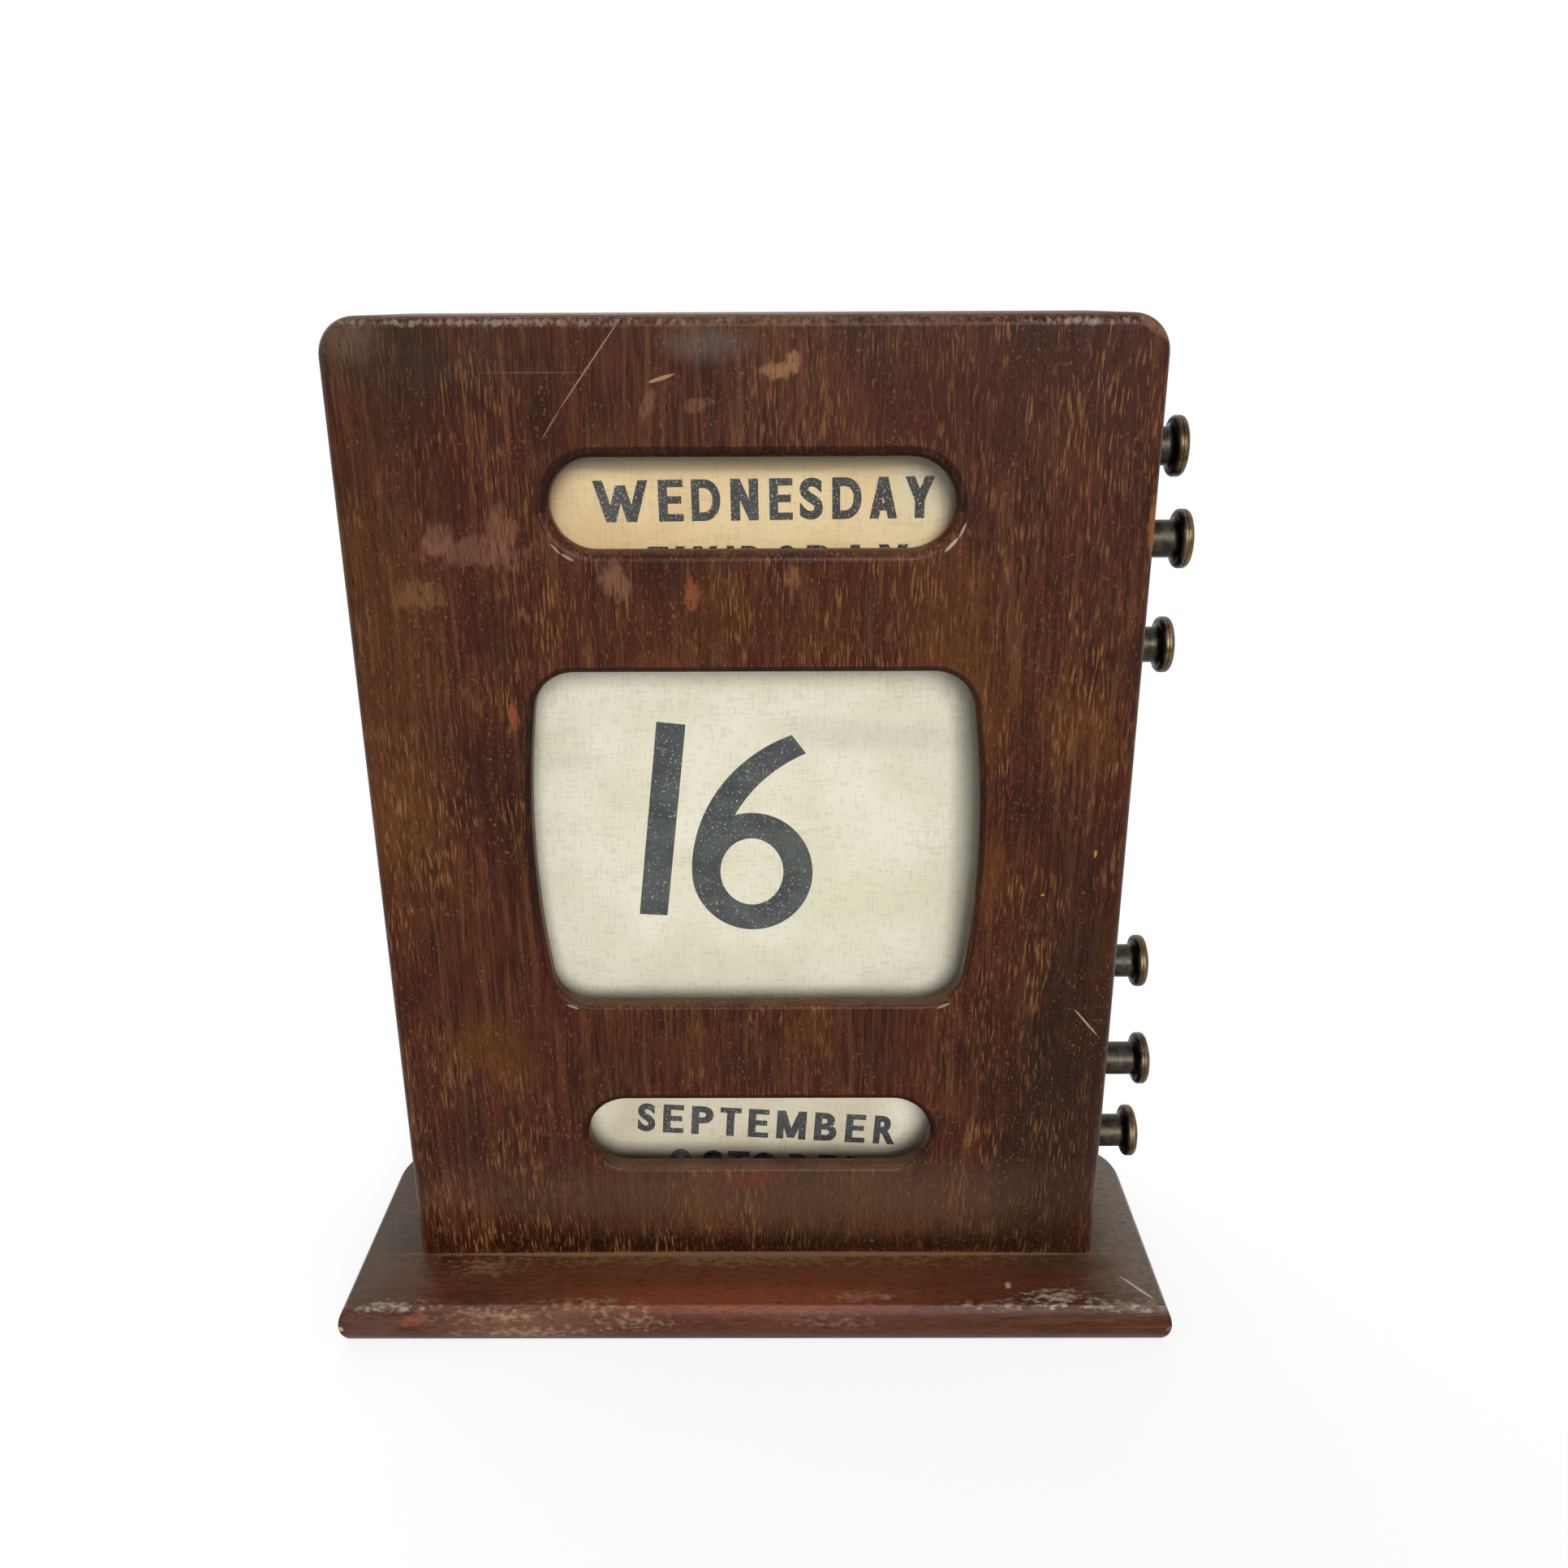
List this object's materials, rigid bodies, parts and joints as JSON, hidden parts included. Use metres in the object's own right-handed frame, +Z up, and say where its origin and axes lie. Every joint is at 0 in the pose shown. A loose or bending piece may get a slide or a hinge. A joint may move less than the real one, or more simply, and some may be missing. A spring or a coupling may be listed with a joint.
{
  "type": "perpetual desk calendar",
  "caption": "Upright wooden desk calendar with glazed weekday, date and month windows; printed cloths wind between rollers turned by brass knobs on the right side.",
  "frame": {"origin": "middle of the base's underside", "axes": "+X towards the knobs, +Y to the back, +Z up"},
  "size_m": [0.1807, 0.061, 0.211],
  "materials": {
    "mahogany": "dark stained mahogany under worn varnish, waxed and dusty",
    "pine": "plain planed softwood, inside the case",
    "brass": "turned brass, dulled and browned with age",
    "steel": "drawn steel pins and screws",
    "glass": "thin clear window glass",
    "linen": "sized cream cloth printed in dark grey-green",
    "felt": "pressed wool felt"
  },
  "bodies": {
    "case": {"base": "mahogany", "front_panel": "mahogany", "left_side": "mahogany", "right_side": "mahogany", "top_panel": "mahogany", "bottom_panel": "pine", "back_panel": "mahogany", "glass_day": "glass", "glass_date": "glass", "glass_month": "glass", "friction_washers": "felt", "base_screws": "steel", "back_screws": "brass", "cloth_day": "linen", "cloth_date": "linen", "cloth_month": "linen"},
    "day_upper_roller": {"roller_day_upper": "pine", "knob_day_upper": "brass", "pin_day_upper": "steel", "wound_day_upper": "linen"},
    "day_lower_roller": {"roller_day_lower": "pine", "knob_day_lower": "brass", "pin_day_lower": "steel", "wound_day_lower": "linen"},
    "date_upper_roller": {"roller_date_upper": "pine", "knob_date_upper": "brass", "pin_date_upper": "steel", "wound_date_upper": "linen"},
    "date_lower_roller": {"roller_date_lower": "pine", "knob_date_lower": "brass", "pin_date_lower": "steel", "wound_date_lower": "linen"},
    "month_upper_roller": {"roller_month_upper": "pine", "knob_month_upper": "brass", "pin_month_upper": "steel", "wound_month_upper": "linen"},
    "month_lower_roller": {"roller_month_lower": "pine", "knob_month_lower": "brass", "pin_month_lower": "steel", "wound_month_lower": "linen"}
  },
  "joints": [
    {"name": "day_upper_turn", "type": "hinge", "parent": "case", "child": "day_upper_roller", "pos_m": [0, 0.0037, 0.18635], "axis": [1, 0, 0], "range_deg": [-324, 324]},
    {"name": "day_lower_turn", "type": "hinge", "parent": "case", "child": "day_lower_roller", "pos_m": [0, 0.0037, 0.16845], "axis": [1, 0, 0], "range_deg": [-324, 324]},
    {"name": "date_upper_turn", "type": "hinge", "parent": "case", "child": "date_upper_roller", "pos_m": [0, 0.0107, 0.1452], "axis": [1, 0, 0], "range_deg": [-5530, 5530]},
    {"name": "date_lower_turn", "type": "hinge", "parent": "case", "child": "date_lower_roller", "pos_m": [0, 0.0107, 0.07135], "axis": [1, 0, 0], "range_deg": [-5530, 5530]},
    {"name": "month_upper_turn", "type": "hinge", "parent": "case", "child": "month_upper_roller", "pos_m": [0, 0.0067, 0.0483], "axis": [1, 0, 0], "range_deg": [-286, 763]},
    {"name": "month_lower_turn", "type": "hinge", "parent": "case", "child": "month_lower_roller", "pos_m": [0, 0.0067, 0.02875], "axis": [1, 0, 0], "range_deg": [-286, 763]}
  ],
  "couplings": [
    {"joint": "day_lower_turn", "follows": "day_upper_turn", "ratio": 1},
    {"joint": "date_lower_turn", "follows": "date_upper_turn", "ratio": 1},
    {"joint": "month_lower_turn", "follows": "month_upper_turn", "ratio": 1}
  ]
}
